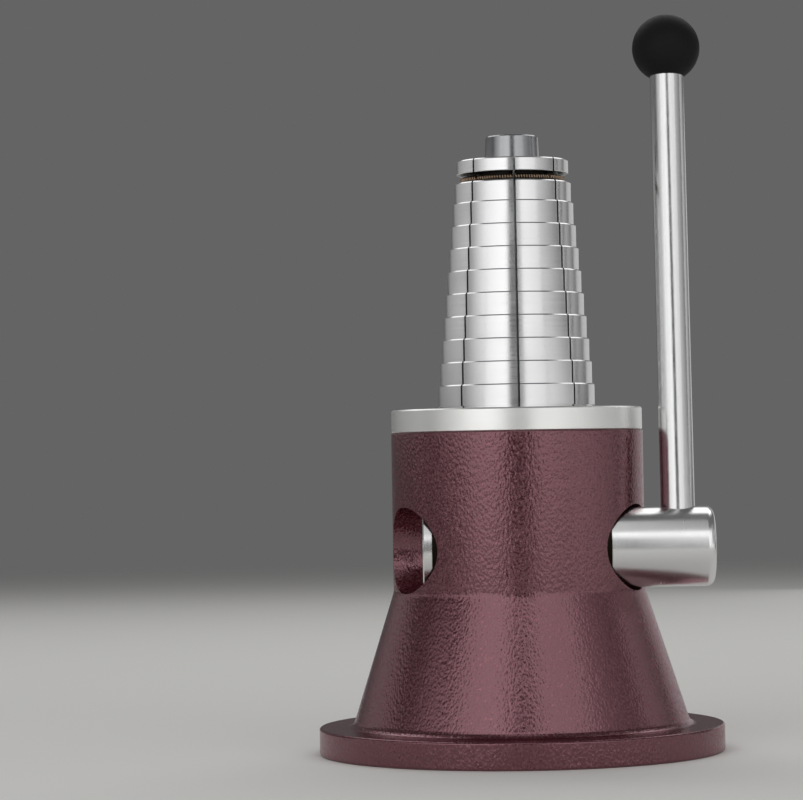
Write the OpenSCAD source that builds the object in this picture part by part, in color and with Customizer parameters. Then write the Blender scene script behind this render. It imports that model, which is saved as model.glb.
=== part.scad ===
// Bracelet expander: a bench tool whose lever lifts a tapered core and so
// spreads the eight petals of a stepped mandrel.
// The origin is the centre of the foot, +Z is up, and the lever is on the +X side.
// All sizes are millimetres.

/* [Stand] */
// Diameter of the foot flange
flange_d = 180; // [168:1:220]
// Thickness of the foot flange
flange_t = 12; // [8:0.5:18]
// Rounding of the flange's edges
flange_edge = 1; // [0.5:0.25:2.5]
// Diameter of the cone where it meets the flange
cone_d = 150; // [136:1:158]
// Height of the cone
cone_h = 59.5; // [48:0.5:75]
// Fillet between the cone and the flange
cone_fillet = 4; // [2:0.5:5]
// Diameter of the barrel
barrel_d = 112; // [106:1:124]
// Height of the barrel
barrel_h = 70.5; // [64:0.5:90]
// Fillet between the cone and the barrel
waist_fillet = 8; // [2:0.5:12]
// Rounding of the barrel's upper edge
barrel_edge = 0.5; // [0.25:0.25:1]
// Wall of the hollow casting
wall = 12; // [8:0.5:14]
// Thickness of the deck under the plate's recess
deck_t = 12; // [8:0.5:14]
// Wall of the cross boss round the shaft's bore
boss_wall = 7; // [5:0.5:9]
// Wall of the column round the core's well
column_wall = 6; // [4:0.5:8]
// Rounding inside the hollow, under the deck
hollow_fillet = 5; // [2:0.5:8]

/* [Top plate] */
// Thickness of the plate
plate_t = 10.3; // [8:0.1:14]
// How far the plate's rim stands back from the barrel
plate_inset = 0.25; // [0:0.25:2]
// Chamfer of the plate's rim
plate_chamfer = 0.6; // [0.2:0.1:1.5]
// Number of plate screws
plate_screw_count = 4; // [3:1:8]
// Thread diameter of a plate screw
plate_screw_d = 5; // [4:0.5:6]
// Length of a plate screw under its head
plate_screw_l = 18; // [14:1:22]

/* [Mandrel] */
// Diameter of the smallest step
top_step_d = 52; // [50:0.5:60]
// Number of steps
step_count = 10; // [8:1:12]
// Height of one step
step_h = 10.1; // [8:0.1:14]
// Height of the lowest step, with the relief under it
foot_step_h = 10.6; // [8:0.1:15]
// Height of the smallest step
top_step_h = 9; // [7:0.1:14]
// Growth of the radius from one step to the next
step_rise = 1; // [0.8:0.1:1.4]
// Chamfer on the upper edge of a step
step_chamfer = 0.5; // [0.2:0.1:0.6]
// Height of the relief under the lowest step
relief_h = 1.2; // [0.5:0.1:2]
// Depth of the relief under the lowest step
relief_depth = 1; // [0.4:0.1:2]
// Height of the spring groove
groove_h = 4; // [3.6:0.2:6]
// Diameter at the bottom of the spring groove
groove_d = 40.6; // [38:0.2:44]
// Diameter of the collar above the groove
collar_d = 50; // [48:0.5:56]
// Thickness of the collar
collar_t = 6; // [4:0.5:10]
// Chamfer of the collar
collar_chamfer = 0.5; // [0.4:0.1:1.2]
// Saw gap between two petals at rest
petal_gap = 0.95; // [0.7:0.05:1.6]

/* [Petal guide] */
// Width of a petal's guide tongue
tongue_w = 8; // [6:0.25:9]
// Radial length of a petal's guide tongue
tongue_l = 10; // [9:0.5:11]
// Diameter of a keeper's two rims
keeper_d = 14; // [12:0.5:15]
// Diameter of a keeper's neck, which the lower spring lies on
keeper_neck_d = 10; // [8:0.5:11]
// Height of a keeper's upper rim
keeper_rim_h = 3; // [2:0.25:4]
// Height of a keeper's lower rim
keeper_foot_h = 2; // [1.5:0.25:3]
// Thread diameter of a keeper
keeper_thread_d = 6; // [5:0.5:6]
// Thread length of a keeper
keeper_thread_l = 16; // [12:1:22]

/* [Expander core] */
// Diameter at the core's tip
core_tip_d = 23.4; // [22:0.2:25]
// How far the core stands out of the collar at rest
core_out = 11; // [8:0.5:14]
// Taper of the core on each side, in degrees
core_taper = 2.5; // [2:0.1:3]
// Chamfer at the core's tip
core_chamfer = 0.5; // [0.3:0.1:1.5]
// Diameter of the centre-drilled dimple in the tip
dimple_d = 4; // [2:0.5:6]
// Diameter of the core's stem
stem_d = 26; // [24:0.5:28]
// Length of stem that stays in the lower guide at the top of the travel
stem_hold = 18; // [14:1:20]

/* [Rack and pinion] */
// Distance of the rack's pitch line from the stem's axis
rack_line = 7.75; // [6:0.25:8.5]
// Number of pinion teeth
pinion_teeth = 16; // [15:1:18]
// Play between the rack and the pinion at the pitch line
tooth_play = 0.3; // [0.2:0.05:0.5]
// Clearance under the tooth tips, as a share of the module
root_clear = 0.2; // [0.15:0.05:0.3]

/* [Lever] */
// Diameter of the pinion shaft
shaft_d = 35; // [32:0.5:38]
// Depth of the shaft's axis below the top of the barrel
shaft_drop = 51.5; // [48:0.5:56]
// Reach of the shaft's left end from the middle
shaft_left = 43; // [40:0.5:44]
// Reach of the shaft's right end from the middle
shaft_right = 84.5; // [80:0.5:110]
// Rounding of the shaft's right end
shaft_round = 3.5; // [1:0.25:5]
// Distance of the lever from the shaft's right end
lever_inset = 15.25; // [13:0.25:18]
// Diameter of the lever
lever_d = 15; // [12:0.5:16]
// Length of the lever, from the shaft's axis to the middle of the ball
lever_l = 222; // [160:0.5:300]
// Angle that the lever leans back at rest
lever_rest = 5; // [0:1:15]
// Diameter of the lever's lower thread
lever_thread_d = 12; // [9:0.5:12]
// Depth to which the lever's full diameter enters the shaft
lever_seat = 4; // [3:0.5:6]
// Length of the lever's lower thread
lever_thread_l = 20; // [14:1:22]
// Angle that the lever swings back from rest
swing_back = 40; // [30:1:45]
// Angle that the lever swings forward from rest
swing_forward = 60; // [45:1:70]

/* [Ball] */
// Diameter of the ball
ball_d = 30; // [26:0.5:50]
// Diameter of the flat under the ball
ball_flat_d = 16; // [15:0.5:20]
// Diameter of the insert in the ball
insert_d = 12.5; // [11:0.25:13.5]
// Length of the insert
insert_l = 16; // [14:0.5:18]
// Diameter of the lever's upper thread
ball_thread_d = 8; // [6:0.5:10]

/* [Bushes] */
// Wall of a shaft bush
shaft_bush_wall = 1.5; // [0.8:0.1:2]
// Length of a shaft bush
shaft_bush_l = 15; // [10:0.5:16]
// Wall of a stem guide bush
guide_wall = 3; // [2:0.25:3.5]
// Length of the upper stem guide
upper_guide_l = 9; // [7:0.5:10]
// Length of the lower stem guide
lower_guide_l = 24; // [21:0.5:28]
// Diameter of the shaft's retaining screw
retainer_d = 8; // [7:0.5:9]
// Diameter of the retaining screw's dog point
dog_d = 5; // [4:0.25:6]
// Depth of the groove that the dog point runs in
dog_groove = 2.5; // [2:0.25:3]

/* [Return springs] */
// Outer diameter of the upper spring's coil
coil_d = 2.8; // [2.4:0.1:3.2]
// Wire diameter of the upper spring
wire_d = 0.8; // [0.6:0.05:0.9]
// Number of curls round the upper spring
coil_count = 90; // [70:1:92]
// Gap in the ring where the upper spring's ends meet
coil_joint = 1.2; // [0.8:0.1:2]
// Outer diameter of the lower spring's coil
lower_coil_d = 2.7; // [2:0.1:3]

/* [Clearances] */
// Radial running clearance of a shaft or stem in its bush
run_clear = 0.04; // [0.02:0.01:0.08]
// Radial clearance of a pressed or threaded piece in its hole
seat_clear = 0.02; // [0.01:0.01:0.05]
// Side clearance of a petal's tongue in its slot
slot_clear = 0.05; // [0.03:0.01:0.2]
// Clearance between the core and a petal
core_clear = 0.1; // [0.05:0.01:0.2]
// Clearance between a keeper and the plate
keeper_clear = 0.1; // [0.05:0.01:0.3]
// Free space round pieces that pass each other without touching
free_space = 1.5; // [1:0.1:2]

/* [Hidden] */
petal_count = 8;
$fn = 96;
// Small overshoot of a cut past the face it opens
cut = 1;
paint = "#68343f";
bright = "#c8cbce";
ground = "#7c7e82";
bronze = "#b58a4a";
black = "#202122";
spring_steel = "#7b5a45";

// Heights of the stand
cone_top = flange_t + cone_h;
base_h = cone_top + barrel_h;
plate_top = base_h + plate_t;
cone_lean = atan((cone_d - barrel_d) / 2 / cone_h);

// Rack and pinion: the pinion's tips are as wide as the shaft that it is cut in
pressure = 20;
gear_module = shaft_d / (pinion_teeth + 2);
pitch_r = gear_module * pinion_teeth / 2;
base_r = pitch_r * cos(pressure);
tooth_pitch = PI * gear_module;
// The rack's tips stop short of undercutting the pinion
rack_tip = min(gear_module, 0.96 * pitch_r * pow(sin(pressure), 2));
pinion_root_r = pitch_r - rack_tip - root_clear * gear_module;
shaft_y = -(rack_line + pitch_r);
shaft_z = base_h - shaft_drop;
shaft_r = shaft_d / 2;
bore_r = shaft_r + shaft_bush_wall;
boss_r = bore_r + boss_wall;
pinion_half = stem_d / 2 + free_space;

// Travel of the core and of the petals
rise = pitch_r * swing_forward * PI / 180;
fall = pitch_r * swing_back * PI / 180;
petal_out = rise * tan(core_taper);
petal_in = fall * tan(core_taper);

// Mandrel
mandrel_h = foot_step_h + (step_count - 2) * step_h + top_step_h;
foot_r = top_step_d / 2 + (step_count - 1) * step_rise;
groove_z = plate_top + mandrel_h;
function step_top(i) = i < step_count - 1 ? plate_top + foot_step_h + i * step_h : groove_z;
collar_z = groove_z + groove_h;
collar_top = collar_z + collar_t;
petal_angle = 360 / petal_count;

// Expander core and its guides
core_top = collar_top + core_out;
upper_guide_z = shaft_z + bore_r + cut;
well_z = upper_guide_z + upper_guide_l;
core_foot = well_z + fall + free_space;
function core_r(z) = core_tip_d / 2 + (core_top - z) * tan(core_taper);
core_foot_r = core_r(core_foot);
well_r = core_foot_r + free_space;
lower_guide_top = shaft_z - bore_r - cut;
lower_guide_z = lower_guide_top - lower_guide_l;
stem_foot = lower_guide_top - stem_hold - rise;
guide_r = stem_d / 2 + guide_wall;
column_r = well_r + column_wall;
// The rack reaches as far as the pinion's rim swings past the stem
rack_reach = sqrt(pow(shaft_r, 2) - pow(-shaft_y - stem_d / 2, 2)) + cut;
rack_low = ceil((rise + rack_reach) / tooth_pitch);
rack_high = ceil((fall + rack_reach) / tooth_pitch);

// Petal guides under the plate
keeper_r = well_r + keeper_d / 2 + petal_in + seat_clear;
neck_h = lower_coil_d + 2 * keeper_clear;
keeper_h = keeper_rim_h + neck_h + keeper_foot_h;
keeper_top = base_h - keeper_clear;
recess_h = keeper_h + keeper_clear + free_space;
recess_r = keeper_r + keeper_d / 2 + petal_out + free_space;
slot_end = keeper_r + tongue_l / 2 + petal_out + slot_clear * 4;
deck_z = base_h - recess_h - deck_t;

// Plate and screws
plate_r = barrel_d / 2 - plate_inset;
screw_circle_r = (recess_r + plate_r) / 2;
screw_head_d = 1.7 * plate_screw_d;
screw_head_z = plate_top - plate_screw_d - 2 * plate_chamfer;

// Lever
lever_x = shaft_right - lever_inset;
// Heights along the lever, from the shaft's axis
ball_foot = lever_l - sqrt(pow(ball_d / 2, 2) - pow(ball_flat_d / 2, 2));
lever_foot = shaft_r - lever_seat;
// Cutter relief on both sides of the pinion's teeth
relief_x = pinion_half + free_space;
dog_x = relief_x + dog_d / 2 + free_space;
bush_x = dog_x + dog_d / 2 + free_space;

// Upper spring: a helix bent round into a ring
coil_r = (coil_d - wire_d) / 2;
ring_r = groove_d / 2 + coil_d / 2 + slot_clear * 4;
// The spring lies on the smallest step
ring_z = groove_z + coil_d / 2 + slot_clear;
coil_rings = 8;
wire_sides = 6;
ring_count = coil_count * coil_rings;
joint_angle = coil_joint / (2 * PI * ring_r) * 360;
ring_angle = 360 - joint_angle;

function arc(centre, r, from, to, steps) =
    [for (i = [0:steps]) centre + r * [cos(from + (to - from) * i / steps), sin(from + (to - from) * i / steps)]];

function unit(v) = v / norm(v);

// Where the shaft's axis lies, with the local Z axis along +X
module on_shaft() {
    translate([0, shaft_y, shaft_z])
    rotate([0, 90, 0])
    children();
}

// Where the lever's axis lies, with the local Z axis from the shaft to the ball
module on_lever() {
    translate([lever_x, shaft_y, shaft_z])
    rotate([-lever_rest, 0, 0])
    children();
}

// Draws a YZ outline as a bar that is centred on X
module across(width) {
    rotate([90, 0, 90])
    linear_extrude(width, center = true)
    children();
}

// Hexagon socket of a screw, with its mouth at z = 0 and its depth along +Z
module hex_socket(across_flats, depth) {
    translate([0, 0, -cut])
    cylinder(h = depth + cut, r = across_flats / 2 / cos(30), $fn = 6);
}

// Outer form of the stand, from the axis outwards
module stand_form() {
    lean_side = [cos(cone_lean), sin(cone_lean)];
    fillet_x = cone_d / 2 + cone_fillet * (1 - lean_side[1]) / lean_side[0];
    edge_x = flange_d / 2 - flange_edge;
    barrel_r = barrel_d / 2;
    waist_z = cone_top + waist_fillet * tan(cone_lean / 2);
    rotate_extrude()
    polygon(concat(
        [[0, 0]],
        arc([edge_x, flange_edge], flange_edge, -90, 0, 4),
        arc([edge_x, flange_t - flange_edge], flange_edge, 0, 90, 4),
        arc([fillet_x, flange_t + cone_fillet], cone_fillet, 270, 180 + cone_lean, 6),
        arc([barrel_r + waist_fillet, waist_z], waist_fillet, 180 + cone_lean, 180, 4),
        arc([barrel_r - barrel_edge, base_h - barrel_edge], barrel_edge, 0, 90, 4),
        [[0, base_h]]
    ));
}

// Hollow of the stand, open at the foot
module stand_hollow() {
    hollow_r = barrel_d / 2 - wall;
    mouth_r = hollow_r + (cone_top + cut) * tan(cone_lean);
    rotate_extrude()
    polygon(concat(
        [[0, -cut], [mouth_r, -cut], [hollow_r, cone_top]],
        arc([hollow_r - hollow_fillet, deck_z - hollow_fillet], hollow_fillet, 0, 90, 4),
        [[0, deck_z]]
    ));
}

// Bearing column for the stem and cross boss for the shaft, inside the hollow
module stand_bosses() {
    intersection() {
        stand_form();
        union() {
            translate([0, 0, lower_guide_z])
            cylinder(h = deck_z - lower_guide_z + cut, r = column_r);
            on_shaft()
            cylinder(h = barrel_d, r = boss_r, center = true);
        }
    }
}

module base_casting() {
    color(paint)
    difference() {
        union() {
            difference() {
                stand_form();
                stand_hollow();
            }
            stand_bosses();
        }
        on_shaft()
        cylinder(h = flange_d, r = bore_r, center = true);
        translate([0, 0, lower_guide_z - cut])
        cylinder(h = base_h, r = guide_r);
        translate([0, 0, well_z])
        cylinder(h = base_h, r = well_r);
        translate([0, 0, base_h - recess_h])
        cylinder(h = recess_h + cut, r = recess_r);
        plate_screw_places()
        translate([0, 0, screw_head_z - plate_screw_l - cut])
        cylinder(h = base_h, r = plate_screw_d / 2 + seat_clear);
        translate([-dog_x, shaft_y, shaft_z - boss_r - wall])
        cylinder(h = boss_r + wall, r = retainer_d / 2 + seat_clear);
    }
}

module plate_screw_places() {
    for (i = [0:plate_screw_count - 1])
    rotate([0, 0, (i + 0.5) * 360 / plate_screw_count])
    translate([screw_circle_r, 0, 0])
    children();
}

// Radial slot of one petal, from the middle of the plate to its round end
module guide_slot(width, end) {
    translate([end - width / 2, 0, 0])
    cylinder(h = plate_t + 2 * cut, r = width / 2);
    translate([0, -width / 2, 0])
    cube([end - width / 2, width, plate_t + 2 * cut]);
}

module top_plate() {
    color(bright)
    difference() {
        translate([0, 0, base_h])
        rotate_extrude()
        polygon([
            [well_r, 0],
            [plate_r - plate_chamfer, 0],
            [plate_r, plate_chamfer],
            [plate_r, plate_t - plate_chamfer],
            [plate_r - plate_chamfer, plate_t],
            [well_r, plate_t]
        ]);
        for (i = [1:petal_count])
        rotate([0, 0, petal_angle * (i - 0.5)])
        translate([0, 0, base_h - cut])
        guide_slot(tongue_w + 2 * slot_clear, slot_end);
        plate_screw_places() {
            translate([0, 0, base_h - cut])
            cylinder(h = plate_t, r = plate_screw_d / 2 + 4 * slot_clear);
            translate([0, 0, screw_head_z])
            cylinder(h = plate_t, r = screw_head_d / 2 + 6 * slot_clear);
        }
    }
}

module plate_screws() {
    color(black)
    plate_screw_places()
    translate([0, 0, screw_head_z])
    difference() {
        union() {
            cylinder(h = plate_screw_d, r = screw_head_d / 2);
            translate([0, 0, -plate_screw_l])
            cylinder(h = plate_screw_l + cut, r = plate_screw_d / 2);
        }
        translate([0, 0, plate_screw_d])
        mirror([0, 0, 1])
        hex_socket(0.8 * plate_screw_d, 0.5 * plate_screw_d);
    }
}

// Stepped outline of the mandrel, with its groove and its collar
module mandrel_form() {
    steps = [for (i = [0:step_count - 1]) [foot_r - i * step_rise, step_top(i)]];
    relief_r = foot_r - relief_depth;
    relief_top = plate_top + relief_h;
    collar_r = collar_d / 2;
    rotate_extrude()
    polygon(concat(
        [[0, plate_top], [relief_r, plate_top], [relief_r, relief_top], [foot_r, relief_top]],
        [for (s = steps, edge = [[0, -step_chamfer], [-step_chamfer, 0], [-step_rise, 0]])
            if (s != steps[step_count - 1] || edge != [-step_rise, 0]) s + edge],
        [
            [groove_d / 2, groove_z],
            [groove_d / 2, collar_z],
            [collar_r - collar_chamfer / 2, collar_z],
            [collar_r, collar_z + collar_chamfer / 2],
            [collar_r, collar_top - collar_chamfer],
            [collar_r - collar_chamfer, collar_top],
            [0, collar_top]
        ]
    ));
}

// Sector of one petal, with parallel saw gaps to its neighbours
module petal_sector() {
    half = petal_angle / 2;
    tip = petal_gap / 2 / sin(half);
    reach = 2 * foot_r;
    translate([0, 0, plate_top - cut])
    linear_extrude(collar_top - plate_top + 2 * cut)
    polygon([[tip, 0], [tip + reach, -reach * tan(half)], [tip + reach, reach * tan(half)]]);
}

// One petal. Its bore fits the core where the petal stands furthest out,
// so that it rides on the core along its middle line over the whole travel.
module petal(i) {
    spread = petal_out + slot_clear;
    low = plate_top - cut;
    high = collar_top + cut;
    bore_add = core_clear + spread;
    color(bright)
    rotate([0, 0, petal_angle * (i - 0.5)])
    difference() {
        union() {
            intersection() {
                mandrel_form();
                petal_sector();
            }
            tongue();
        }
        translate([-spread, 0, low])
        cylinder(h = high - low, r1 = core_r(low) + bore_add, r2 = core_r(high) + bore_add);
        translate([keeper_r, 0, keeper_top - cut])
        cylinder(h = keeper_thread_l + 2 * cut, r = keeper_thread_d / 2 + seat_clear);
    }
}

// Guide tongue of a petal, which slides in the plate's slot
module tongue() {
    tongue_h = plate_top - keeper_top;
    round_x = keeper_r + (tongue_l - tongue_w) / 2;
    translate([round_x, 0, keeper_top])
    cylinder(h = tongue_h + cut, r = tongue_w / 2);
    translate([keeper_r - tongue_l / 2, -tongue_w / 2, keeper_top])
    cube([round_x - keeper_r + tongue_l / 2, tongue_w, tongue_h + cut]);
}

// Screw under one petal: its upper rim holds the petal down on the plate,
// and its neck carries the lower spring.
module keeper_screw(i) {
    keeper_z = keeper_top - keeper_h;
    color(ground)
    rotate([0, 0, petal_angle * (i - 0.5)])
    translate([keeper_r, 0, keeper_z])
    difference() {
        union() {
            cylinder(h = keeper_foot_h, r = keeper_d / 2);
            cylinder(h = keeper_h, r = keeper_neck_d / 2);
            translate([0, 0, keeper_foot_h + neck_h])
            cylinder(h = keeper_rim_h, r = keeper_d / 2);
            cylinder(h = keeper_h + keeper_thread_l, r = keeper_thread_d / 2);
        }
        hex_socket(keeper_neck_d / 2, keeper_foot_h + neck_h / 2);
    }
}

// A point on the upper spring's wire, at ring number i
function coil_turn(i) = 360 * i / coil_rings;
function coil_out(i) =
    let (a = joint_angle / 2 + ring_angle * i / ring_count) [cos(a), sin(a), 0];
function coil_side(i) = cos(coil_turn(i)) * coil_out(i) + [0, 0, sin(coil_turn(i))];
function coil_centre(i) =
    ring_r * coil_out(i) + coil_r * coil_side(i) + [0, 0, ring_z];
function coil_along(i) = unit(coil_centre(i + 0.01) - coil_centre(i - 0.01));
function wire_ring(i) =
    let (side = coil_side(i), across = cross(coil_along(i), side))
    [for (k = [0:wire_sides - 1])
        coil_centre(i) + wire_d / 2 * (cos(360 * k / wire_sides) * side + sin(360 * k / wire_sides) * across)];

// Least distance between two neighbouring curls, measured on their points
function curl_gap() = min([
    for (i = [0:coil_rings], j = [i + coil_rings - 2:i + coil_rings + 2], p = wire_ring(i), q = wire_ring(j))
        norm(p - q)
]);

module upper_return_spring() {
    points = [for (i = [0:ring_count], p = wire_ring(i)) p];
    last = ring_count * wire_sides;
    sides = [
        for (i = [0:ring_count - 1], k = [0:wire_sides - 1], half = [0, 1])
        let (a = i * wire_sides + k, b = i * wire_sides + (k + 1) % wire_sides)
        half == 0 ? [a, a + wire_sides, b] : [b, a + wire_sides, b + wire_sides]
    ];
    first_end = [for (k = [1:wire_sides - 2]) [0, k, k + 1]];
    last_end = [for (k = [1:wire_sides - 2]) [last, last + k + 1, last + k]];
    echo(upper_spring_gap_to_itself = curl_gap());
    color(spring_steel)
    polyhedron(points, concat(sides, first_end, last_end));
}

module lower_return_spring() {
    neck_z = keeper_top - keeper_rim_h - neck_h / 2;
    color(spring_steel)
    translate([0, 0, neck_z])
    rotate_extrude()
    translate([keeper_r + (keeper_neck_d + lower_coil_d) / 2 + slot_clear, 0])
    circle(r = lower_coil_d / 2);
}

// Gaps between the rack's teeth, wider by the play than the pinion's teeth
module rack_gap() {
    deep = gear_module * (1 + root_clear);
    half = tooth_pitch / 4 + tooth_play / 2;
    top = rack_tip + cut;
    polygon([
        [deep, -half + deep * tan(pressure)],
        [deep, half - deep * tan(pressure)],
        [-top, half + top * tan(pressure)],
        [-top, -half - top * tan(pressure)]
    ]);
}

// Tapered core with its stem. The rack is milled into the stem's front.
module expander_core() {
    flat_y = -(rack_line + rack_tip);
    flat_low = shaft_z - (rack_low + 0.5) * tooth_pitch;
    flat_high = shaft_z + (rack_high + 0.5) * tooth_pitch;
    color(ground)
    difference() {
        rotate_extrude()
        polygon([
            [0, stem_foot],
            [stem_d / 2 - core_chamfer, stem_foot],
            [stem_d / 2, stem_foot + core_chamfer],
            [stem_d / 2, core_foot],
            [core_foot_r, core_foot],
            [core_r(core_top - core_chamfer), core_top - core_chamfer],
            [core_tip_d / 2 - core_chamfer, core_top],
            [0, core_top]
        ]);
        translate([-stem_d, flat_y - stem_d, flat_low])
        cube([2 * stem_d, stem_d, flat_high - flat_low]);
        for (k = [-rack_low:rack_high])
        translate([0, -rack_line, shaft_z + k * tooth_pitch])
        across(2 * stem_d)
        rack_gap();
        translate([0, 0, core_top - dimple_d / 2])
        cylinder(h = dimple_d, r1 = 0, r2 = dimple_d);
    }
}

module guide_bush(z, length) {
    color(bronze)
    translate([0, 0, z])
    difference() {
        cylinder(h = length, r = guide_r - seat_clear);
        translate([0, 0, -cut])
        cylinder(h = length + 2 * cut, r = stem_d / 2 + run_clear);
    }
}

module upper_guide_bush() {
    guide_bush(upper_guide_z, upper_guide_l);
}

module lower_guide_bush() {
    guide_bush(lower_guide_z, lower_guide_l);
}

// Half the angle of a pinion tooth at radius r, on its involute flank
function involute(a) = tan(a) - a * PI / 180;
function tooth_half(r) =
    90 / pinion_teeth + (involute(pressure) - involute(acos(min(1, base_r / r)))) * 180 / PI;
function on_circle(r, a) = r * [cos(a), sin(a)];

module pinion_outline() {
    flank_steps = 6;
    flank = [for (k = [0:flank_steps]) base_r + (shaft_r - base_r) * k / flank_steps];
    polygon([
        for (t = [0:pinion_teeth - 1])
        let (a = 360 * t / pinion_teeth)
        each concat(
            [on_circle(pinion_root_r, a - tooth_half(base_r))],
            [for (r = flank) on_circle(r, a - tooth_half(r))],
            [for (k = [flank_steps:-1:0]) on_circle(flank[k], a + tooth_half(flank[k]))],
            [on_circle(pinion_root_r, a + tooth_half(base_r))]
        )
    ]);
}

// Pinion shaft, drawn from its left end to its right end
module pinion_shaft() {
    groove_half = dog_d / 2 + keeper_clear;
    groove_r = shaft_r - dog_groove;
    color(bright)
    difference() {
        union() {
            on_shaft()
            rotate_extrude()
            polygon(concat(
                [
                    [0, -shaft_left],
                    [shaft_r - core_chamfer, -shaft_left],
                    [shaft_r, core_chamfer - shaft_left],
                    [shaft_r, -dog_x - groove_half],
                    [groove_r, -dog_x - groove_half],
                    [groove_r, groove_half - dog_x],
                    [shaft_r, groove_half - dog_x],
                    [shaft_r, -relief_x],
                    [pinion_root_r - cut, -relief_x],
                    [pinion_root_r - cut, relief_x],
                    [shaft_r, relief_x]
                ],
                arc([shaft_r - shaft_round, shaft_right - shaft_round], shaft_round, 0, 90, 8),
                [[0, shaft_right]]
            ));
            translate([0, shaft_y, shaft_z])
            across(2 * pinion_half)
            pinion_outline();
        }
        on_lever() {
            translate([0, 0, lever_foot])
            cylinder(h = shaft_d, r = lever_d / 2 + seat_clear);
            translate([0, 0, lever_foot - lever_thread_l - cut])
            cylinder(h = shaft_d, r = lever_thread_d / 2 + seat_clear);
        }
        on_shaft()
        for (end = [-shaft_left, shaft_right])
        translate([0, 0, end])
        rotate([end > 0 ? 180 : 0, 0, 0])
        cylinder(h = dimple_d / 2, r1 = dimple_d / 2, r2 = 0);
    }
}

module shaft_bush(from) {
    color(bronze)
    on_shaft()
    translate([0, 0, from])
    difference() {
        cylinder(h = shaft_bush_l, r = bore_r - seat_clear);
        translate([0, 0, -cut])
        cylinder(h = shaft_bush_l + 2 * cut, r = shaft_r + run_clear);
    }
}

module shaft_bush_left() {
    shaft_bush(-bush_x - shaft_bush_l);
}

module shaft_bush_right() {
    shaft_bush(bush_x);
}

// Grub screw with a dog point, screwed up into the cross boss
module shaft_retaining_screw() {
    dog_tip = shaft_z - shaft_r + dog_groove - 4 * keeper_clear;
    shoulder = shaft_z - bore_r - keeper_clear;
    foot = shaft_z - boss_r;
    color(black)
    translate([-dog_x, shaft_y, foot])
    difference() {
        union() {
            cylinder(h = shoulder - foot, r = retainer_d / 2);
            cylinder(h = dog_tip - foot, r = dog_d / 2);
        }
        hex_socket(retainer_d / 2, retainer_d / 2);
    }
}

module lever_rod() {
    color(bright)
    on_lever()
    union() {
        translate([0, 0, lever_foot])
        cylinder(h = ball_foot - lever_foot, r = lever_d / 2);
        translate([0, 0, lever_foot - lever_thread_l])
        cylinder(h = lever_thread_l + cut, r = lever_thread_d / 2);
        translate([0, 0, ball_foot - cut])
        cylinder(h = insert_l, r = ball_thread_d / 2);
    }
}

module ball_knob() {
    color(black)
    on_lever()
    difference() {
        translate([0, 0, lever_l])
        sphere(r = ball_d / 2);
        translate([0, 0, ball_foot - ball_d])
        cylinder(h = ball_d, r = ball_d);
        translate([0, 0, ball_foot - cut])
        cylinder(h = insert_l + cut, r = insert_d / 2 + seat_clear);
    }
}

module knob_insert() {
    color(bronze)
    on_lever()
    translate([0, 0, ball_foot])
    difference() {
        cylinder(h = insert_l, r = insert_d / 2);
        translate([0, 0, -cut])
        cylinder(h = insert_l + 2 * cut, r = ball_thread_d / 2 + seat_clear);
    }
}

base_casting();
top_plate();
plate_screws();
for (i = [1:petal_count]) {
    petal(i);
    keeper_screw(i);
}
upper_return_spring();
lower_return_spring();
expander_core();
upper_guide_bush();
lower_guide_bush();
pinion_shaft();
shaft_bush_left();
shaft_bush_right();
shaft_retaining_screw();
lever_rod();
ball_knob();
knob_insert();
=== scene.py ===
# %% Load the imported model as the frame
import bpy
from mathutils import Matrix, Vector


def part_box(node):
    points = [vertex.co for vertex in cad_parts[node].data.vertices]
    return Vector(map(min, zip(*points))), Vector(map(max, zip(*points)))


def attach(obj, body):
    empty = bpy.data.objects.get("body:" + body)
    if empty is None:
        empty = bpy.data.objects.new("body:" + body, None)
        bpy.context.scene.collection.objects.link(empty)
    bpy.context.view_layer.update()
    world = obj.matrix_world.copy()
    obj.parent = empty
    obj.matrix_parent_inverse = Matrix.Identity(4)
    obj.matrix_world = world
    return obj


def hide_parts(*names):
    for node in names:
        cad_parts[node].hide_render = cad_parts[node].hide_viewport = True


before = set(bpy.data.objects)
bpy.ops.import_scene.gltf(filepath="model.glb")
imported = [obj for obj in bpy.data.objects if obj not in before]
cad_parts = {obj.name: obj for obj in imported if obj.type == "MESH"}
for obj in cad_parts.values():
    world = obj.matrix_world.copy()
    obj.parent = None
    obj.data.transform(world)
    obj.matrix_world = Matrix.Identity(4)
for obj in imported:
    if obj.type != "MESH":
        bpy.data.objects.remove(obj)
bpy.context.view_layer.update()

# %% [markdown]
# This lesson gives a bracelet expander its looks. The tool stands on a bench: a lever turns a pinion shaft,
# the shaft lifts a tapered core, and the core spreads eight steel petals, which stretch what is slipped
# over them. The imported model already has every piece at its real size, so the work here is finish: paint,
# steel, springs and light.
#
# The camera comes first, because every later choice is judged through it. The tool was photographed from
# the front with a long lens, a little left of its middle and about level with the top of the stand. A long
# lens from far away keeps the steps of the mandrel almost parallel, which a near wide lens would not.

# %% Camera
import math

import bpy
from mathutils import Matrix, Vector

CAMERA_PLACE = Vector((-0.0511, -1.3844, 0.1319))
CAMERA_LENS_MM = 139.2
CAMERA_LOOKS_UP_DEG = 1.04
CAMERA_LEANS_DEG = -0.97
DOWN_TO_LEVEL_DEG = 90  # a new camera looks straight down

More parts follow.
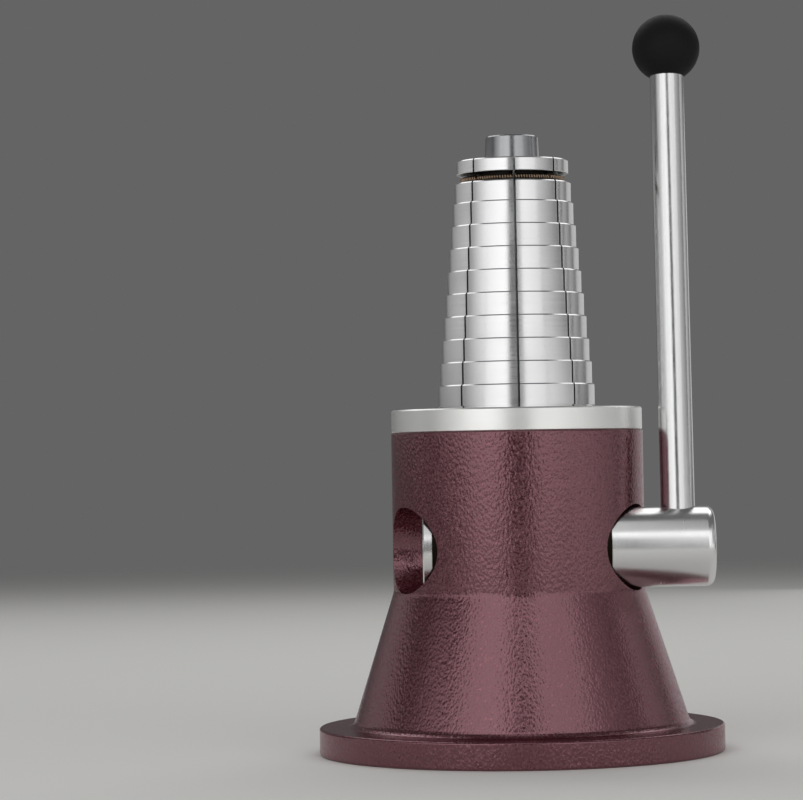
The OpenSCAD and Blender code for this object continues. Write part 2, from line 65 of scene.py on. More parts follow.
lens = bpy.data.cameras.new("product_camera")
lens.lens = CAMERA_LENS_MM
camera = bpy.data.objects.new("product_camera", lens)
bpy.context.scene.collection.objects.link(camera)
tilt = Matrix.Rotation(math.radians(DOWN_TO_LEVEL_DEG + CAMERA_LOOKS_UP_DEG), 4, "X")
lean = Matrix.Rotation(math.radians(CAMERA_LEANS_DEG), 4, "Z")
camera.matrix_world = Matrix.Translation(CAMERA_PLACE) @ tilt @ lean
bpy.context.scene.camera = camera
print("camera stands", round(CAMERA_PLACE.length, 3), "m from the middle of the foot")

# %% [markdown]
# Two small helpers serve every material. Colours are written as the sRGB hex values that a paint shop would
# quote, and Blender's shaders want linear light, so one function converts them. The other adds a node, sets
# its options and fills its input sockets, either with a value or with a wire from another node.

# %% Helpers for colours and nodes
def linear(hex_code):
    """Turns an sRGB hex colour into the linear RGBA that a shader expects."""
    channels = [int(hex_code[i:i + 2], 16) / 255 for i in (1, 3, 5)]
    return tuple(c / 12.92 if c <= 0.04045 else ((c + 0.055) / 1.055) ** 2.4 for c in channels) + (1.0,)


def add(tree, kind, sockets=None, **options):
    """Adds a node to a tree. Each entry of sockets is a value, or an output socket to wire in."""
    node = tree.nodes.new(kind)
    for name, value in options.items():
        setattr(node, name, value)
    for name, value in (sockets or {}).items():
        if isinstance(value, bpy.types.NodeSocket):
            tree.links.new(value, node.inputs[name])
        else:
            node.inputs[name].default_value = value
    return node


print("mid grey in linear light:", round(linear("#808080")[0], 3))

# %% [markdown]
# Polished steel has no colour of its own: it shows what stands round it. The stripes on the real steel tell
# what that was. Each round piece is bright to the left and to the right of its middle, with one narrow grey
# band between where the camera looked in, and it is dimmer towards its edges. So the studio is a plain grey
# room with a large soft box on each side of the camera and slimmer ones further round. A room that is white
# all round would be simpler, but steel in it looks like plastic.
#
# The floor is a pale disc for the tool to stand on and for the steel to mirror. It fades out far away, where
# its edge would show as a hard line.

# %% Floor and room
FLOOR_RADIUS = 3.0
FLOOR_SIDES = 128
FLOOR_FADE = (1.3, 2.9)
FLOOR_COLOUR = "#f1f0ed"
FLOOR_ROUGHNESS = 0.9
ROOM_GREY = "#646464"

bpy.context.scene.view_settings.view_transform = "Standard"

bpy.ops.object.select_all(action="DESELECT")
bpy.ops.mesh.primitive_circle_add(
    vertices=FLOOR_SIDES, radius=FLOOR_RADIUS, fill_type="NGON", location=(0, 0, 0),
)
floor = bpy.context.object
floor.name = "studio_floor"

floor_paint = bpy.data.materials.new("pale_studio_floor")
floor_paint.use_nodes = True
tree = floor_paint.node_tree
tree.nodes.clear()
place = add(tree, "ShaderNodeTexCoord").outputs["Object"]
distance = add(tree, "ShaderNodeVectorMath", {0: place}, operation="LENGTH").outputs["Value"]
fade = add(tree, "ShaderNodeMapRange", {
    "Value": distance, "From Min": FLOOR_FADE[0], "From Max": FLOOR_FADE[1],
}, interpolation_type="SMOOTHSTEP").outputs["Result"]
matt = add(tree, "ShaderNodeBsdfPrincipled", {
    "Base Color": linear(FLOOR_COLOUR), "Roughness": FLOOR_ROUGHNESS,
})
clear = add(tree, "ShaderNodeBsdfTransparent")
floor_shader = add(tree, "ShaderNodeMixShader", {0: fade, 1: matt.outputs[0], 2: clear.outputs[0]})
add(tree, "ShaderNodeOutputMaterial", {"Surface": floor_shader.outputs[0]})
floor.data.materials.append(floor_paint)

room = bpy.data.worlds.new("grey_room")
room.use_nodes = True
room.node_tree.nodes["Background"].inputs["Color"].default_value = linear(ROOM_GREY)
bpy.context.scene.world = room
print("the floor is", 2 * FLOOR_RADIUS, "m across")

# %% [markdown]
# Each soft box is given by the band of directions that it fills as seen from the tool, and by its glow at
# both ends, because a cloth lit from one side fades across. An area lamp glows alike all over, so its nodes
# read the place across the cloth and spread the glow.
#
# Most of the outer boxes hang just above the plate. The upright petals see them there, while the paint lower
# down looks past them into the room and stays deep at its sides. One low box on the right lights the plate's
# rim and that side of the paint. Overhead hang only a narrow strip in front and one box behind, for the
# faces that look up. The bevel of each step looks up between them, and the ceiling draws it as a fine dark
# line on the front petals.

# %% Soft boxes
AIM = Vector((0.0, 0.0, 0.15))
BOX_DISTANCE = 1.5
SOFT_BOXES = (
    # Name, left and right edge, low and high edge, left and right glow. Edges are in degrees, from the
    # camera's side and from level.
    ("left_rim_box", -150, -90, 1, 12, 0.15, 0.6),
    ("left_outer_box", -84, -50, 0, 22, 0.25, 1.05),
    ("left_box", -50, -11, -4, 44, 1.0, 1.3),
    ("front_box", -8, 9, 26, 80, 0.55, 0.55),
    ("right_box", 9, 46, -4, 44, 1.1, 0.8),
    ("right_outer_box", 46, 88, 2, 40, 0.55, 0.1),
    ("right_low_box", 46, 96, -5, 2, 1.0, 0.35),
    ("right_rim_box", 92, 124, 1, 20, 0.65, 0.1),
    ("right_edge_box", 130, 168, -5, 12, 0.45, 0.45),
    ("back_box", 145, 215, 32, 70, 1.3, 1.3),
)


def soft_box(name, left_deg, right_deg, low_deg, high_deg, left_glow, right_glow):
    """Adds a soft box that faces the tool and fills these directions."""
    side = math.radians((left_deg + right_deg) / 2)
    up = math.radians((low_deg + high_deg) / 2)
    width = 2 * BOX_DISTANCE * math.tan(math.radians(right_deg - left_deg) / 2)
    height = 2 * BOX_DISTANCE * math.tan(math.radians(high_deg - low_deg) / 2)
    towards = Vector((math.sin(side) * math.cos(up), -math.cos(side) * math.cos(up), math.sin(up)))
    lamp = bpy.data.lights.new(name, "AREA")
    lamp.shape = "RECTANGLE"
    lamp.size, lamp.size_y = width, height
    lamp.energy = math.pi * width * height  # at this power a glow of 1 shows as white
    lamp.use_nodes = True
    tree = lamp.node_tree
    tree.nodes.clear()
    across = add(tree, "ShaderNodeNewGeometry").outputs["Parametric"]
    across = add(tree, "ShaderNodeSeparateXYZ", {"Vector": across}).outputs["X"]
    glow = add(tree, "ShaderNodeMapRange", {"Value": across, "To Min": left_glow, "To Max": right_glow})
    cloth = add(tree, "ShaderNodeEmission", {"Strength": glow.outputs["Result"]})
    add(tree, "ShaderNodeOutputLight", {"Surface": cloth.outputs["Emission"]})
    box = bpy.data.objects.new(name, lamp)
    bpy.context.scene.collection.objects.link(box)
    facing = (-towards).to_track_quat("-Z", "Y").to_matrix().to_4x4()
    box.matrix_world = Matrix.Translation(AIM + BOX_DISTANCE * towards) @ facing
    print(name, "is", round(width, 2), "m by", round(height, 2), "m")


for row in SOFT_BOXES:
    soft_box(*row)

# %% [markdown]
# A material starts the same way each time: an empty tree, one Principled shader and its output. The function
# returns the tree, the shader and the Object coordinates. Object coordinates are used because each piece has
# its place in its mesh, so a pattern can be centred on the tool's own axes in metres.

# %% Start of a material
def start_finish(name, colour, metallic, roughness):
    """Makes a material with one Principled shader, and returns it with its tree, shader and coordinates."""
    finish = bpy.data.materials.new(name)
    finish.use_nodes = True
    tree = finish.node_tree
    tree.nodes.clear()
    shader = add(tree, "ShaderNodeBsdfPrincipled", {
        "Base Color": linear(colour), "Metallic": metallic, "Roughness": roughness,
    })
    add(tree, "ShaderNodeOutputMaterial", {"Surface": shader.outputs["BSDF"]})
    place = add(tree, "ShaderNodeTexCoord").outputs["Object"]
    return finish, tree, shader, place


finishes = {}
print("materials before the first finish:", len(bpy.data.materials))

# %% [markdown]
# The stand is grey iron, cast and then sprayed with burgundy hammertone enamel. Silicone pulls the wet film
# into pebbles that run a little down the wall before they dry. The pebbles break the edge of every
# reflection into sparks, so the paint looks deep and soft at once. Displacing the mesh would need millions
# of faces, so a cell pattern and a little noise drive a bump. Real pebbles are about 0.4 mm across. They are
# drawn at about a millimetre, because finer ones would vanish between the pixels.
#
# The film is clear and red, so it tints every reflection, which is what the specular tint is for.

# %% Hammertone enamel: the pebbled film
GRAIN = 0.0007
PEBBLE = 0.00098
PEBBLE_SHARE = 1.6  # weight of the pebbles against the grain
SAG = 0.6  # below 1 the pebbles run down the wall
RELIEF = 0.00008
FILM_DEEP = "#340910"
FILM_TINT = "#ffc2ce"
FILM_GLOSS = (0.1, 0.26)
FILM_IOR = 1.8

enamel, tree, shader, place = start_finish("hammertone_enamel", FILM_DEEP, 0.0, FILM_GLOSS[0])
shader.inputs["IOR"].default_value = FILM_IOR
shader.inputs["Specular IOR Level"].default_value = 1.0
shader.inputs["Specular Tint"].default_value = linear(FILM_TINT)
sagged = add(tree, "ShaderNodeVectorMath", {
    0: place, 1: (1, 1, SAG),
}, operation="MULTIPLY").outputs["Vector"]
hills = add(tree, "ShaderNodeTexNoise", {
    "Vector": sagged, "Scale": 1 / GRAIN, "Detail": 1.0, "Roughness": 0.45,
}).outputs["Fac"]
from_pebble = add(tree, "ShaderNodeTexVoronoi", {
    "Vector": sagged, "Scale": 1 / PEBBLE,
}, feature="SMOOTH_F1").outputs["Distance"]
height = add(tree, "ShaderNodeMath", {
    0: from_pebble, 1: -PEBBLE_SHARE, 2: hills,
}, operation="MULTIPLY_ADD").outputs["Value"]
skin = add(tree, "ShaderNodeBump", {"Height": height, "Strength": 1.0, "Distance": RELIEF})
tree.links.new(skin.outputs["Normal"], shader.inputs["Normal"])
print("pebbles of the enamel:", round(PEBBLE * 1000, 2), "mm")

# %% [markdown]
# Inside the stand there is no paint. The wall's middle, as a radius that widens down the cone, divides the
# enamel from the bare iron of the hollow. The cross bore caught the spray, and the foot was left bare.
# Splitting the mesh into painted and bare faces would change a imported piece, so the places are worked out
# in the material. Distances from an axis are needed again for the steels, so a helper gives them.

# %% Where the stand is painted
WALL_MIDDLE = 0.05
WAIST_HEIGHT = 0.0715
CONE_SLOPE = 0.319
PAINT_EDGE = 0.0005
FOOT_CUT = 0.0002


def from_axis(tree, place, axis="Z"):
    """Returns the distance along one of the axes of place, and the distance from that axis."""
    parts = add(tree, "ShaderNodeSeparateXYZ", {"Vector": place}).outputs
    first, second = (parts[name] for name in "XYZ" if name != axis)
    flat = add(tree, "ShaderNodeCombineXYZ", {"X": first, "Y": second}).outputs["Vector"]
    radius = add(tree, "ShaderNodeVectorMath", {0: flat}, operation="LENGTH").outputs["Value"]
    return parts[axis], radius


bush_low, bush_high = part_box("shaft_bush_left")
shaft_middle = (bush_low + bush_high) / 2
bore_radius = (bush_high.z - bush_low.z) / 2

up, radius = from_axis(tree, place)
flare = add(tree, "ShaderNodeMapRange", {
    "Value": up, "From Min": WAIST_HEIGHT, "From Max": 0.0, "To Max": WAIST_HEIGHT * CONE_SLOPE,
}).outputs["Result"]
straightened = add(tree, "ShaderNodeMath", {0: radius, 1: flare}, operation="SUBTRACT").outputs["Value"]
outside = add(tree, "ShaderNodeMapRange", {
    "Value": straightened, "From Min": WALL_MIDDLE - PAINT_EDGE, "From Max": WALL_MIDDLE + PAINT_EDGE,
}).outputs["Result"]
from_shaft = add(tree, "ShaderNodeVectorMath", {0: place, 1: shaft_middle}, operation="SUBTRACT")
from_shaft_axis = from_axis(tree, from_shaft.outputs["Vector"], "X")[1]
in_bore = add(tree, "ShaderNodeMath", {
    0: from_shaft_axis, 1: bore_radius + PAINT_EDGE,
}, operation="LESS_THAN").outputs["Value"]
above_foot = add(tree, "ShaderNodeMath", {0: up, 1: FOOT_CUT}, operation="GREATER_THAN").outputs["Value"]
sprayed = add(tree, "ShaderNodeMath", {0: outside, 1: in_bore}, operation="MAXIMUM").outputs["Value"]
painted = add(tree, "ShaderNodeMath", {0: sprayed, 1: above_foot}, operation="MULTIPLY").outputs["Value"]
print("the painted bore is", round(2000 * bore_radius, 1), "mm across")

# %% [markdown]
# Aluminium flake lies in the film in patches. Where it comes near the surface the paint turns metallic and a
# little paler, and its gloss changes too. Real flake is far finer than a pixel, so the patches are drawn at
# about a millimetre. Bare iron inside is dull and has the same small hills.
#
# The Mix node keeps its sockets for numbers and for colours under the same names, so they go by their places.

# %% Flake, colour and gloss of the enamel
FLAKE_PATCH = 0.0011
FLAKE_SHOWS = (0.5, 0.68)
FILM_FLAKED = "#8c6268"
GLOSS_SPREAD = (0.35, 0.65)
IRON_DARK = "#4a4744"
IRON_LIGHT = "#6d6964"
IRON_ROUGHNESS = 0.6
COLOUR_A, COLOUR_B, COLOUR_OUT = 6, 7, 2
NUMBER_A, NUMBER_B, NUMBER_OUT = 2, 3, 0

flake = add(tree, "ShaderNodeTexNoise", {
    "Vector": place, "Scale": 1 / FLAKE_PATCH, "Detail": 2.0, "Roughness": 0.6,
}).outputs["Fac"]
shown = add(tree, "ShaderNodeMapRange", {
    "Value": flake, "From Min": FLAKE_SHOWS[0], "From Max": FLAKE_SHOWS[1],
}).outputs["Result"]
metallic = add(tree, "ShaderNodeMath", {0: shown, 1: painted}, operation="MULTIPLY").outputs["Value"]
tree.links.new(metallic, shader.inputs["Metallic"])

film = add(tree, "ShaderNodeMix", {
    "Factor": shown, COLOUR_A: linear(FILM_DEEP), COLOUR_B: linear(FILM_FLAKED),
}, data_type="RGBA").outputs[COLOUR_OUT]
iron = add(tree, "ShaderNodeMix", {
    "Factor": hills, COLOUR_A: linear(IRON_DARK), COLOUR_B: linear(IRON_LIGHT),
}, data_type="RGBA").outputs[COLOUR_OUT]
surface = add(tree, "ShaderNodeMix", {
    "Factor": painted, COLOUR_A: iron, COLOUR_B: film,
}, data_type="RGBA").outputs[COLOUR_OUT]
tree.links.new(surface, shader.inputs["Base Color"])

film_gloss = add(tree, "ShaderNodeMapRange", {
    "Value": flake, "From Min": GLOSS_SPREAD[0], "From Max": GLOSS_SPREAD[1],
    "To Min": FILM_GLOSS[0], "To Max": FILM_GLOSS[1],
}).outputs["Result"]
gloss = add(tree, "ShaderNodeMix", {
    "Factor": painted, NUMBER_A: IRON_ROUGHNESS, NUMBER_B: film_gloss,
}, data_type="FLOAT").outputs[NUMBER_OUT]
tree.links.new(gloss, shader.inputs["Roughness"])
finishes["hammertone_enamel"] = enamel
print("patches of flake:", round(FLAKE_PATCH * 1000, 2), "mm")

# %% [markdown]
# Most of the steel was turned on a lathe. A turning tool leaves fine rings: lines that run round a rim, and
# circles on a flat face. One pattern gives both. It reads the distance from the axis and the distance along
# it, and feeds them to a noise that knows nothing of the angle, so every mark closes on itself. Real marks
# are about 0.1 mm apart, which is less than a pixel here, so they are drawn coarser to show at all. A broad
# cloud on top is where a hand has wiped the steel duller or brighter.

# %% Turned and ground steels
NOISE_LOW, NOISE_HIGH = 0.3, 0.7  # nearly all values of a noise lie between these
WIPED_PATCH = 0.018
BRIGHTER, DULLER = 0.05, 0.07
MARK_STRENGTH = 0.6


def turned_steel(name, colour, roughness, line, depth, axis="Z", centre=(0, 0, 0)):
    """Makes a lathe-turned metal. line is the spacing of its marks and depth their height, in metres."""
    finish, tree, shader, place = start_finish(name, colour, 1.0, roughness)
    centred = add(tree, "ShaderNodeVectorMath", {0: place, 1: centre}, operation="SUBTRACT")
    along, radius = from_axis(tree, centred.outputs["Vector"], axis)
    ring = add(tree, "ShaderNodeCombineXYZ", {"X": radius, "Y": along}).outputs["Vector"]
    marks = add(tree, "ShaderNodeTexNoise", {
        "Vector": ring, "Scale": 1 / line, "Detail": 3.0,
    }).outputs["Fac"]
    cloud = add(tree, "ShaderNodeTexNoise", {
        "Vector": place, "Scale": 1 / WIPED_PATCH, "Detail": 2.0,
    }).outputs["Fac"]
    both = add(tree, "ShaderNodeMath", {0: marks, 1: cloud}, operation="ADD").outputs["Value"]
    gloss = add(tree, "ShaderNodeMapRange", {
        "Value": both, "From Min": 2 * NOISE_LOW, "From Max": 2 * NOISE_HIGH,
        "To Min": roughness - BRIGHTER, "To Max": roughness + DULLER,
    })
    tree.links.new(gloss.outputs["Result"], shader.inputs["Roughness"])
    bump = add(tree, "ShaderNodeBump", {"Height": marks, "Strength": MARK_STRENGTH, "Distance": depth})
    tree.links.new(bump.outputs["Normal"], shader.inputs["Normal"])
    finishes[name] = finish


turned_steel("turned_plate_steel", "#f4f4f2", 0.33, 0.0007, 0.000001)
turned_steel("polished_petal_steel", "#e2e2e2", 0.2, 0.0009, 0.000001)
turned_steel("ground_core_steel", "#a2a3a5", 0.2, 0.0006, 0.000003)
turned_steel("turned_shaft_steel", "#eaeaea", 0.22, 0.0007, 0.000001, "X", shaft_middle)
# The bronze's colour is painted near black. This is painted shade for the dark gap between the shaft and its
# bore.
turned_steel("bronze_darkened_as_shade", "#1d1812", 0.45, 0.0006, 0.000005)
print("finishes so far:", ", ".join(finishes))

# %% [markdown]
# The groove under the collar, where the garter spring lies, is deep and sits in the collar's shadow. That
# shade is
# painted: the groove's place is read from the imported spring, and there the petal steel's colour turns dark.
# Painting the faces of the groove would need eight changed meshes.

# %% Painted shade in the spring's groove
GROOVE_HEIGHT = 0.0041
GROOVE_MARGIN = 0.0003
GROOVE_SHADE = "#161412"

spring_low, spring_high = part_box("upper_return_spring")
groove_middle = spring_low.z + GROOVE_HEIGHT / 2
tree = finishes["polished_petal_steel"].node_tree
shader = tree.nodes["Principled BSDF"]
place = add(tree, "ShaderNodeTexCoord").outputs["Object"]
up, radius = from_axis(tree, place)
level_with_groove = add(tree, "ShaderNodeMath", {
    0: up, 1: groove_middle, 2: GROOVE_HEIGHT / 2 + GROOVE_MARGIN,
}, operation="COMPARE").outputs["Value"]
within = add(tree, "ShaderNodeMath", {0: radius, 1: spring_high.y}, operation="LESS_THAN").outputs["Value"]
painted_shade_mask = add(tree, "ShaderNodeMath", {0: level_with_groove, 1: within}, operation="MULTIPLY").outputs["Value"]
# The petal steel's colour is mixed to near black here. This is painted shade for the groove under the collar.
steel_with_painted_shade = add(tree, "ShaderNodeMix", {
    "Factor": painted_shade_mask, COLOUR_A: shader.inputs["Base Color"].default_value, COLOUR_B: linear(GROOVE_SHADE),
}, data_type="RGBA").outputs[COLOUR_OUT]
tree.links.new(steel_with_painted_shade, shader.inputs["Base Color"])
# This gives the height where the painted shade of the groove starts.
print("grime starts", round(spring_low.z * 1000, 1), "mm above the foot")

# %% [markdown]
# The lever is bright drawn bar. Drawing pulls the bar through a die, so its marks run along its length and
# not round it. The same noise makes them, stretched forty times upwards, which is along the bar but for its
# small lean. Real draw marks are finer than a pixel, so these are coarser.

# %% Drawn bar
DRAW_MARK = 0.0006
DRAW_STRETCH = 40
BAR_GLOSS = (0.16, 0.26)

drawn, tree, shader, place = start_finish("drawn_bar_steel", "#d8d8d8", 1.0, 0.2)
stretched = add(tree, "ShaderNodeVectorMath", {
    0: place, 1: (1 / DRAW_MARK, 1 / DRAW_MARK, 1 / DRAW_MARK / DRAW_STRETCH),
}, operation="MULTIPLY").outputs["Vector"]
streaks = add(tree, "ShaderNodeTexNoise", {"Vector": stretched, "Scale": 1.0, "Detail": 3.0})
gloss = add(tree, "ShaderNodeMapRange", {
    "Value": streaks.outputs["Fac"], "From Min": NOISE_LOW, "From Max": NOISE_HIGH,
    "To Min": BAR_GLOSS[0], "To Max": BAR_GLOSS[1],
})
tree.links.new(gloss.outputs["Result"], shader.inputs["Roughness"])
finishes["drawn_bar_steel"] = drawn
print("the lever's finish:", drawn.name)

# %% [markdown]
# The small things are oil-blackened screws, brown tempered spring wire and the ball, which is moulded from
# phenolic resin in a sand-blasted mould. A fine mottle in the gloss and the height keeps each from looking
# like plastic film. It is drawn coarser than the real one to show. The ball hardly shines, so its specular
# level is low.

# %% Screws, springs and ball
MOTTLE_GLOSSIER, MOTTLE_DULLER = 0.06, 0.08
MOTTLE_STRENGTH = 0.3
MOTTLE_DEPTH = 0.00003
BALL_SPECULAR = 0.13

for name, colour, metallic, roughness, lump in (
    ("black_oxide_steel", "#2b2b2d", 1.0, 0.38, 0.0008),
    ("tempered_spring_wire", "#a08a76", 1.0, 0.24, 0.0006),
    ("moulded_phenolic", "#171717", 0.0, 0.6, 0.0011),
):
    finish, tree, shader, place = start_finish(name, colour, metallic, roughness)
    mottle = add(tree, "ShaderNodeTexNoise", {
        "Vector": place, "Scale": 1 / lump, "Detail": 3.0,
    }).outputs["Fac"]
    gloss = add(tree, "ShaderNodeMapRange", {
        "Value": mottle, "From Min": NOISE_LOW, "From Max": NOISE_HIGH,
        "To Min": roughness - MOTTLE_GLOSSIER, "To Max": roughness + MOTTLE_DULLER,
    })
    tree.links.new(gloss.outputs["Result"], shader.inputs["Roughness"])
    bump = add(tree, "ShaderNodeBump", {
        "Height": mottle, "Strength": MOTTLE_STRENGTH, "Distance": MOTTLE_DEPTH,
    })
    tree.links.new(bump.outputs["Normal"], shader.inputs["Normal"])
    finishes[name] = finish

ball_shader = finishes["moulded_phenolic"].node_tree.nodes["Principled BSDF"]
ball_shader.inputs["Specular IOR Level"].default_value = BALL_SPECULAR
print("finishes in all:", len(finishes))

# %% [markdown]
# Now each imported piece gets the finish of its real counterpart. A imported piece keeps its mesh, so only its
# material slot changes. Names that start alike, such as those of the eight petals, share a line of the table.

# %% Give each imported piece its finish
FINISH_OF = {
    "base_casting": "hammertone_enamel",
    "top_plate": "turned_plate_steel",
    "plate_screws": "black_oxide_steel",
    "petal": "polished_petal_steel",
    "keeper_screw": "ground_core_steel",
    "upper_return_spring": "tempered_spring_wire",
    "lower_return_spring": "tempered_spring_wire",
    "expander_core": "ground_core_steel",
    # The bushes' near-black bronze is painted shade for the gap round the shaft in the bore.
    "upper_guide_bush": "bronze_darkened_as_shade",
    "lower_guide_bush": "bronze_darkened_as_shade",
    "pinion_shaft": "turned_shaft_steel",
    "shaft_bush": "bronze_darkened_as_shade",
    "shaft_retaining_screw": "black_oxide_steel",
    "lever_rod": "drawn_bar_steel",
    "ball_knob": "moulded_phenolic",
    "knob_insert": "bronze_darkened_as_shade",
}
for name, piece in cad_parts.items():
    kind = next(k for k in FINISH_OF if name.startswith(k))
    piece.material_slots[0].material = finishes[FINISH_OF[kind]]
print("pieces with a finish:", len(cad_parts))

# %% [markdown]
# New pieces follow, and three helpers do what each of them needs. One opens a piece in edit mode with nothing
# else selected, because an operator acts on all that is selected. One adds a modifier and applies it. The
# last hands a finished piece over: it gets its finish and the body that it rides on, and the imported pieces
# that it stands for are hidden.

# %% Edit a piece and hand it over
def edit(piece):
    """Opens one piece in edit mode with all of it selected."""
    bpy.ops.object.select_all(action="DESELECT")
    piece.select_set(True)
    bpy.context.view_layer.objects.active = piece
    bpy.ops.object.mode_set(mode="EDIT")
    bpy.ops.mesh.select_all(action="SELECT")


def apply_modifier(piece, kind, **options):
    """Adds a modifier with these options and applies it at once."""
    modifier = piece.modifiers.new(kind.lower(), kind)
    for name, value in options.items():
        setattr(modifier, name, value)
    bpy.context.view_layer.objects.active = piece
    bpy.ops.object.modifier_apply(modifier=modifier.name)


def hand_over(piece, finish, body, slot, *stands_for):
    """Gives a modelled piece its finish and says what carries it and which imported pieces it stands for."""
    piece.data.materials.clear()
    piece.data.materials.append(finishes[finish])
    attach(piece, body)
    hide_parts(*stands_for)
    print(piece.name, "has", len(piece.data.polygons), "faces and rides on", body)


# %% [markdown]
# Two garter springs draw the petals in: one in the groove under the collar, one round the keepers under the
# plate. A garter spring is a long coil of wire bent round until its ends meet. It is made here as by a spring
# winder: a circle is the wire's section, the Screw modifier winds it, and a bend curves the coil. The petals
# slide outwards, and a real spring stretches with them. So each is made as eight arcs, one to a petal, which
# part a little between the petals as the curls of the real one do.

# %% Wind one arc of a garter spring
PETALS = 8
WIRE_SIDES = 8
CURL_STEPS = 14
ARC_GAP = 0.00045


def spring_arc(name, ring_radius, height, coil, wire, curls):
    """Winds one arc of a garter spring, whose middle lies in the direction of -Y."""
    length = ring_radius * 2 * math.pi / PETALS - ARC_GAP
    bpy.ops.object.select_all(action="DESELECT")
    bpy.ops.mesh.primitive_circle_add(vertices=WIRE_SIDES, radius=wire / 2)
    arc = bpy.context.object
    arc.name = name
    edit(arc)
    bpy.ops.transform.rotate(value=math.pi / 2, orient_axis="X", center_override=(0, 0, 0))
    bpy.ops.transform.translate(value=((wire - length) / 2, 0, (coil - wire) / 2))
    bpy.ops.object.mode_set(mode="OBJECT")
    apply_modifier(
        arc, "SCREW", axis="X", screw_offset=(length - wire) / curls, iterations=curls,
        steps=CURL_STEPS, render_steps=CURL_STEPS, use_smooth_shade=True,
    )
    edit(arc)
    bpy.ops.mesh.fill_holes(sides=WIRE_SIDES)
    bpy.ops.mesh.normals_make_consistent(inside=False)
    bpy.ops.object.mode_set(mode="OBJECT")
    apply_modifier(arc, "SIMPLE_DEFORM", deform_method="BEND", deform_axis="Z", angle=length / ring_radius)
    edit(arc)
    bpy.ops.transform.translate(value=(0, -ring_radius, height))
    bpy.ops.object.mode_set(mode="OBJECT")
    print(name, "is", round(length * 1000, 1), "mm long and has", curls, "curls")
    return arc


# %% [markdown]
# The ring's radius, its height and the coil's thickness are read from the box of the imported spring. One arc
# is wound, and eight copies are turned to the middles of the petals. A copy's turn is applied to its mesh,
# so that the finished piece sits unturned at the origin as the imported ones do.

# %% Both garter springs
def garter_spring(node, wire, curls):
    """Replaces a packed spring by eight arcs, each on its petal."""
    low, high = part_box(node)
    coil = high.z - low.z
    first = spring_arc(node + "_arc", high.y - coil / 2, (low.z + high.z) / 2, coil, wire, curls)
    for i in range(1, PETALS + 1):
        arc = bpy.data.objects.new(f"{node}_arc_{i}", first.data.copy())
        bpy.context.scene.collection.objects.link(arc)
        arc.rotation_euler.z = math.radians(90 + 360 / PETALS * (i - 0.5))
        bpy.ops.object.select_all(action="DESELECT")
        arc.select_set(True)
        bpy.context.view_layer.objects.active = arc
        bpy.ops.object.transform_apply(location=False, rotation=True, scale=False)
        hand_over(arc, "tempered_spring_wire", f"petal_{i}", "spring_steel", node)
    bpy.data.objects.remove(first)


garter_spring("upper_return_spring", wire=0.0006, curls=14)
garter_spring("lower_return_spring", wire=0.0007, curls=28)

# %% [markdown]
# Four socket screws hold the plate down. Bought screws have a rounded head, a hexagon socket with the cone of
# its drill at the bottom, and a chamfered tip. One screw is made from a cylinder: the edge of its head is
# bevelled, and its shank is drawn out of the lower face. Edges are picked by their height and faces by the
# way they look, because their numbers change with every edit.

# %% Head and shank of a plate screw
import bmesh

HEAD_ACROSS = 0.0085
HEAD_HEIGHT = 0.005
HEAD_SIDES = 48
HEAD_ROUND = 0.0006
SHANK_ACROSS = 0.005
TIP_CHAMFER = 0.0007
SAME_HEIGHT = 0.00001
LOOKS_DOWN = -0.9


def select(kind, test):
    """Selects the faces or edges of the mesh in edit mode for which test is true, and nothing else."""
    bpy.ops.mesh.select_mode(type={"faces": "FACE", "edges": "EDGE"}[kind])
    bpy.ops.mesh.select_all(action="DESELECT")
    mesh = bmesh.from_edit_mesh(bpy.context.object.data)
    for item in getattr(mesh, kind):
        item.select_set(bool(test(item)))
    mesh.select_flush_mode()
    bmesh.update_edit_mesh(bpy.context.object.data)


def level(edge, z):
    """True if both ends of an edge lie at height z."""
    return all(abs(v.co.z - z) < SAME_HEIGHT for v in edge.verts)


screws_low, screws_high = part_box("plate_screws")
head_top = screws_high.z
head_foot = head_top - HEAD_HEIGHT
screw_foot = screws_low.z

bpy.ops.object.select_all(action="DESELECT")
bpy.ops.mesh.primitive_cylinder_add(vertices=HEAD_SIDES, radius=HEAD_ACROSS / 2, depth=HEAD_HEIGHT)
screw = bpy.context.object
edit(screw)
bpy.ops.transform.translate(value=(0, 0, head_top - HEAD_HEIGHT / 2))
select("edges", lambda e: level(e, head_top))
bpy.ops.mesh.bevel(offset=HEAD_ROUND, segments=4, affect="EDGES")
select("faces", lambda f: f.normal.z < LOOKS_DOWN)
bpy.ops.mesh.inset(thickness=(HEAD_ACROSS - SHANK_ACROSS) / 2)
bpy.ops.mesh.extrude_region_move(TRANSFORM_OT_translate={"value": (0, 0, screw_foot - head_foot)})
select("edges", lambda e: level(e, screw_foot))
bpy.ops.mesh.bevel(offset=TIP_CHAMFER, segments=1, affect="EDGES")
bpy.ops.object.mode_set(mode="OBJECT")
print("a plate screw is", round((head_top - screw_foot) * 1000, 1), "mm long")

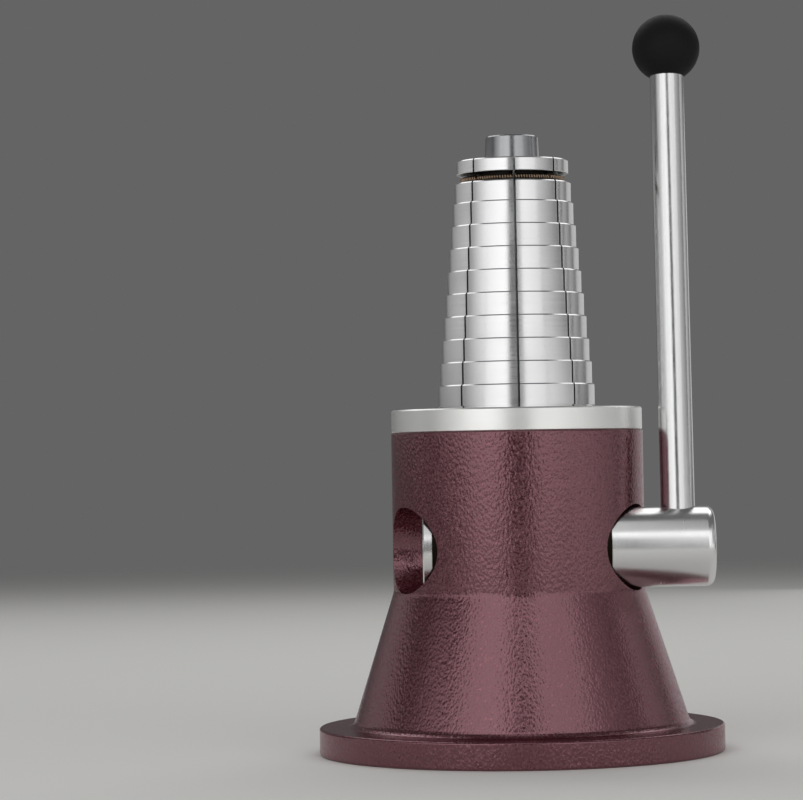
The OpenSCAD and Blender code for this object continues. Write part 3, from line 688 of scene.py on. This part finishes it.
# %% [markdown]
# A hexagonal cutter makes the socket, as the broach does in the factory. Its lower face is drawn out and
# shrunk to a point, which leaves the cone of the drill. Modelling the socket from the head's top face would
# need a hexagon inside a circle of 48 sides, and a cut gives that join by itself.

# %% Socket of a plate screw
SOCKET_FLATS = 0.004
SOCKET_DEPTH = 0.0025
CONE_DEPTH = SOCKET_FLATS / 5
CONE_TIP = 0.05
SOCKET_SIDES = 6

socket_corner = SOCKET_FLATS / 2 / math.cos(math.pi / SOCKET_SIDES)
bpy.ops.object.select_all(action="DESELECT")
bpy.ops.mesh.primitive_cylinder_add(
    vertices=SOCKET_SIDES, radius=socket_corner, depth=2 * SOCKET_DEPTH, location=(0, 0, head_top),
)
cutter = bpy.context.object
bpy.ops.object.transform_apply(location=True, rotation=False, scale=False)
edit(cutter)
select("faces", lambda f: f.normal.z < LOOKS_DOWN)
bpy.ops.mesh.extrude_region_move(TRANSFORM_OT_translate={"value": (0, 0, -CONE_DEPTH)})
bpy.ops.transform.resize(value=(CONE_TIP, CONE_TIP, 1.0))
bpy.ops.object.mode_set(mode="OBJECT")
apply_modifier(screw, "BOOLEAN", operation="DIFFERENCE", solver="EXACT", object=cutter)
bpy.data.objects.remove(cutter)
print("one screw has", len(screw.data.polygons), "faces")

# %% [markdown]
# The four screws stand on a square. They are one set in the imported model, so the copies are joined into one
# piece. Smooth shading by angle keeps the rim of the socket sharp and the round of the head soft.

# %% Copy the screw to its four places
SMOOTH_BELOW_DEG = 35

reach = screws_high.x - HEAD_ACROSS / 2
bpy.ops.object.select_all(action="DESELECT")
copies = []
for x, y in ((reach, reach), (-reach, reach), (-reach, -reach), (reach, -reach)):
    copy = bpy.data.objects.new("socket_screws", screw.data.copy())
    bpy.context.scene.collection.objects.link(copy)
    copy.location = (x, y, 0)
    copy.select_set(True)
    copies.append(copy)
bpy.data.objects.remove(screw)
bpy.context.view_layer.objects.active = copies[0]
bpy.ops.object.transform_apply(location=True, rotation=False, scale=False)
bpy.ops.object.join()
copies[0].name = "socket_screws"
bpy.ops.object.shade_smooth_by_angle(angle=math.radians(SMOOTH_BELOW_DEG))
hand_over(copies[0], "black_oxide_steel", "stand", "black_screws", "plate_screws")
